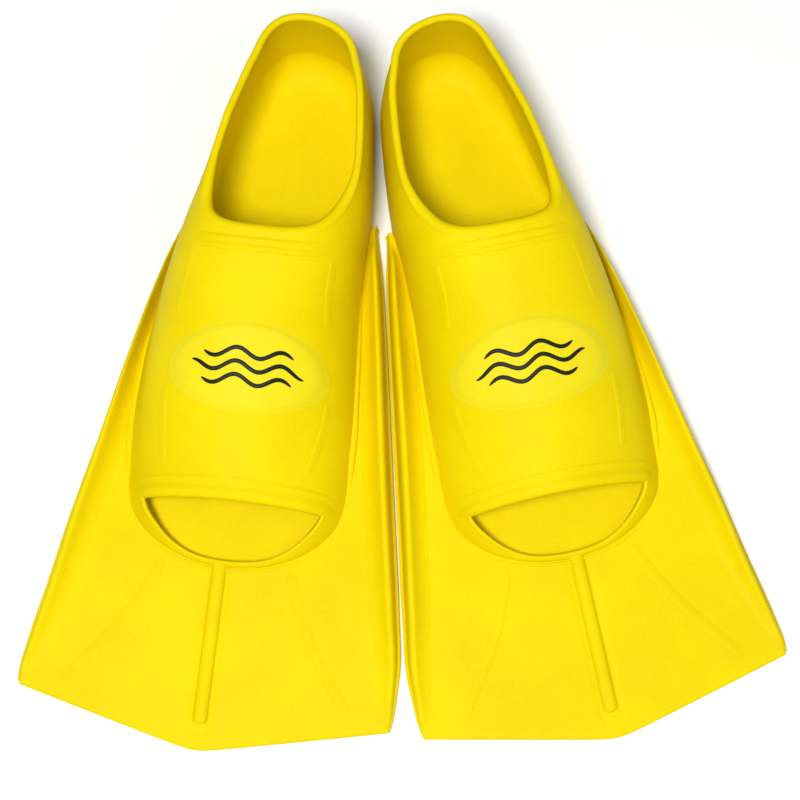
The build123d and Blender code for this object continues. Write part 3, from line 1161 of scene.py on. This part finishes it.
def step_line(fin, side, name, material):
    """Fine curved edge on the blade, from the toe to the trailing edge."""
    inner, outer = ray_ends(STEP_RAY, side)
    bend = (STEP_RAY, side)
    sections = []
    for i in range(STEP_STEPS + 1):
        w = mix(*STEP_REACH, i / STEP_STEPS)
        x, s = ray_point(inner, outer, bend, w)
        next_x, next_s = ray_point(inner, outer, bend, w + STEP_AHEAD)
        along = Vector((next_x - x, next_s - s)).normalized()
        across = Vector((along.y, -along.x)) * side
        strength = ends_fade(i, STEP_STEPS, STEP_FADE)
        outline = []
        for a, lift in STEP_PROFILE:
            place_x, place_s = x + across.x * a, s + across.y * a
            z = plate_at(place_s)[0] + faded(lift, strength, STEP_SUNK)
            outline.append(Vector((place_x, place_s, z)))
        sections.append(outline)
    piece = swept(fin, name, sections, material)
    fin.finish(piece, [], moves="blade")


# ---- materials

GRAIN = {"cloud": 22, "speck": 900, "fine": 1500, "coarse": 260, "ink": 700}
SPECK_SHARE = 0.45
COARSE_SHARE = 0.4
RUBBER_STOPS = (0.38, 0.62)
RUBBER_BUMP = 0.0003
ROUGHNESS_SPREAD = (-0.05, 0.07)
RUBBER = {
    "Specular IOR Level": 0.06,
    "Subsurface Weight": 0.08,
    "Subsurface Radius": (1.0, 0.65, 0.05),
    "Subsurface Scale": 0.004,
}
INK_STOPS = (0.3, 0.8)
INK_COLOURS = ((0.004, 0.004, 0.003), (0.012, 0.011, 0.006))
INK_GRAIN = 0.2
INK_BUMP = 0.0002
INK = {"Roughness": 0.5, "Specular IOR Level": 0.2}
FLOOR = {"Base Color": (0.93, 0.93, 0.93, 1), "Roughness": 0.9, "Specular IOR Level": 0.1}


class Paint:
    """A node material under construction, textured by place on the object."""

    def __init__(self, name, values):
        self.material = bpy.data.materials.new(name)
        self.material.use_nodes = True
        self.nodes = self.material.node_tree.nodes
        self.links = self.material.node_tree.links
        self.base = self.nodes["Principled BSDF"]
        self.place = None
        for socket, value in values.items():
            self.base.inputs[socket].default_value = value

    def feed(self, socket, output):
        """Links an output to one of the shader's inputs."""
        self.links.new(output, self.base.inputs[socket])

    def noise(self, scale, detail, roughness=0.6):
        """Grey noise over the object's own coordinates."""
        if self.place is None:
            self.place = self.nodes.new("ShaderNodeTexCoord").outputs["Object"]
        node = self.nodes.new("ShaderNodeTexNoise")
        node.inputs["Scale"].default_value = scale
        node.inputs["Detail"].default_value = detail
        node.inputs["Roughness"].default_value = roughness
        self.links.new(self.place, node.inputs["Vector"])
        return node.outputs["Fac"]

    def blended(self, first, second, share):
        """Weighted mean of two greys, by the second one's share."""
        node = self.nodes.new("ShaderNodeMix")
        node.data_type = "FLOAT"
        node.inputs["Factor"].default_value = share
        self.links.new(first, node.inputs["A"])
        self.links.new(second, node.inputs["B"])
        return node.outputs["Result"]

    def ramp(self, grey, stops, dark, light):
        """Colour from dark to light between two stops of a grey."""
        node = self.nodes.new("ShaderNodeValToRGB")
        for element, stop, colour in zip(node.color_ramp.elements, stops, (dark, light)):
            element.position = stop
            element.color = (*colour, 1)
        self.links.new(grey, node.inputs["Fac"])
        return node.outputs["Color"]

    def bump(self, height, strength, distance):
        """Surface normal disturbed by a grey."""
        node = self.nodes.new("ShaderNodeBump")
        node.inputs["Strength"].default_value = strength
        node.inputs["Distance"].default_value = distance
        self.links.new(height, node.inputs["Height"])
        return node.outputs["Normal"]

    def spread(self, grey, low, high):
        """A grey stretched between two values."""
        node = self.nodes.new("ShaderNodeMapRange")
        node.inputs["To Min"].default_value = low
        node.inputs["To Max"].default_value = high
        self.links.new(grey, node.inputs["Value"])
        return node.outputs["Result"]


def silicone(name, light, dark, roughness, grain):
    """Matte moulded rubber: slightly cloudy colour and a fine sandy grain."""
    paint = Paint(name, RUBBER)
    cloud = paint.noise(GRAIN["cloud"], 4)
    speck = paint.noise(GRAIN["speck"], 3, 0.7)
    tone = paint.blended(cloud, speck, SPECK_SHARE)
    paint.feed("Base Color", paint.ramp(tone, RUBBER_STOPS, dark, light))
    fine = paint.noise(GRAIN["fine"], 2)
    coarse = paint.noise(GRAIN["coarse"], 3)
    height = paint.blended(fine, coarse, COARSE_SHARE)
    paint.feed("Normal", paint.bump(height, grain, RUBBER_BUMP))
    low, high = [roughness + change for change in ROUGHNESS_SPREAD]
    paint.feed("Roughness", paint.spread(cloud, low, high))
    return paint.material


def print_ink():
    """Black screen print that lets a little of the rubber's grain through."""
    paint = Paint("print_ink", INK)
    speck = paint.noise(GRAIN["ink"], 4, 0.7)
    paint.feed("Base Color", paint.ramp(speck, INK_STOPS, *INK_COLOURS))
    paint.feed("Normal", paint.bump(speck, INK_GRAIN, INK_BUMP))
    return paint.material


def floor_paint():
    """Plain matte white."""
    return Paint("white_floor", FLOOR).material


# ---- stage

CAMERA_TARGET = Vector((-0.0016, -0.0057, 0.0))
CAMERA_DISTANCE = 1.0
CAMERA_ELEVATION = radians(75)
CAMERA_LENS = 84.9
SENSOR_WIDTH = 36
FLOOR_REACH = 3.0
FLOOR_DROP = 0.0004
SKY_STRENGTH = 0.22


def area_light(name, place, size, power_w):
    """Square soft light that looks at the fins."""
    light = bpy.data.lights.new(name, "AREA")
    light.size = size
    light.energy = power_w
    lamp = bpy.data.objects.new(name, light)
    lamp.location = place
    lamp.rotation_euler = (Vector((0, 0, 0)) - Vector(place)).to_track_quat("-Z", "Y").to_euler()
    bpy.context.collection.objects.link(lamp)


def stage():
    """White floor, a large soft light overhead and a weak one from the side."""
    mesh = bpy.data.meshes.new("floor")
    r = FLOOR_REACH
    mesh.from_pydata([(-r, -r, 0), (r, -r, 0), (r, r, 0), (-r, r, 0)], [], [(0, 1, 2, 3)])
    mesh.materials.append(floor_paint())
    floor = bpy.data.objects.new("floor", mesh)
    floor.location.z = -FLOOR_DROP
    bpy.context.collection.objects.link(floor)
    area_light("key", (-0.28, -0.5, 1.68), size=0.45, power_w=30)
    area_light("right_fill", (1.1, -0.3, 1.15), size=1.2, power_w=4)
    world = bpy.data.worlds.new("studio")
    world.use_nodes = True
    background = world.node_tree.nodes["Background"]
    background.inputs["Color"].default_value = (1, 1, 1, 1)
    background.inputs["Strength"].default_value = SKY_STRENGTH
    bpy.context.scene.world = world


def camera():
    """Camera above the toes, looking down steeply."""
    lens = bpy.data.cameras.new("camera")
    lens.lens = CAMERA_LENS
    lens.sensor_width = SENSOR_WIDTH
    lens.dof.use_dof = False
    view = bpy.data.objects.new("camera", lens)
    away = Vector((0, -cos(CAMERA_ELEVATION), sin(CAMERA_ELEVATION)))
    view.location = CAMERA_TARGET + away * CAMERA_DISTANCE
    view.rotation_euler = (-away).to_track_quat("-Z", "Y").to_euler()
    bpy.context.collection.objects.link(view)
    bpy.context.scene.camera = view


def main():
    """Both fins, then the stage."""
    yellow = silicone("fin_rubber", (0.82, 0.655, 0.0008), (0.76, 0.585, 0.0004), 0.55, 0.22)
    # The pad's rubber is a little smoother and glossier than the fin's, and its paler colour is
    # painted highlight: the light caught on the pad's raised edges.
    pad_yellow_painted_highlight = silicone("pad_rubber_painted_highlight", (0.81, 0.69, 0.016), (0.76, 0.63, 0.008), 0.5, 0.16)
    ink = print_ink()
    for side in ("right", "left"):
        fin = Fin(side)
        foot_pocket_shell(fin, yellow)
        footbed(fin, yellow)
        collar(fin, yellow)
        instep_band(fin, yellow)
        label_pad(fin, pad_yellow_painted_highlight)
        printed_mark(fin, ink)
        toe_lip(fin, yellow)
        toe_rim(fin, yellow)
        toe_line(fin, yellow)
        welt(fin, 1, "medial_welt", yellow)
        welt(fin, -1, "lateral_welt", yellow)
        for name, rows in PANEL_LINES.items():
            panel_line(fin, name, rows, yellow)
        blade(fin, yellow)
        rail(fin, 1, "medial_rail", yellow)
        rail(fin, -1, "lateral_rail", yellow)
        centre_rib(fin, yellow)
        step_line(fin, 1, "medial_step", yellow)
        step_line(fin, -1, "lateral_step", yellow)
    stage()
    camera()
    bpy.context.scene.view_settings.view_transform = "Standard"


main()
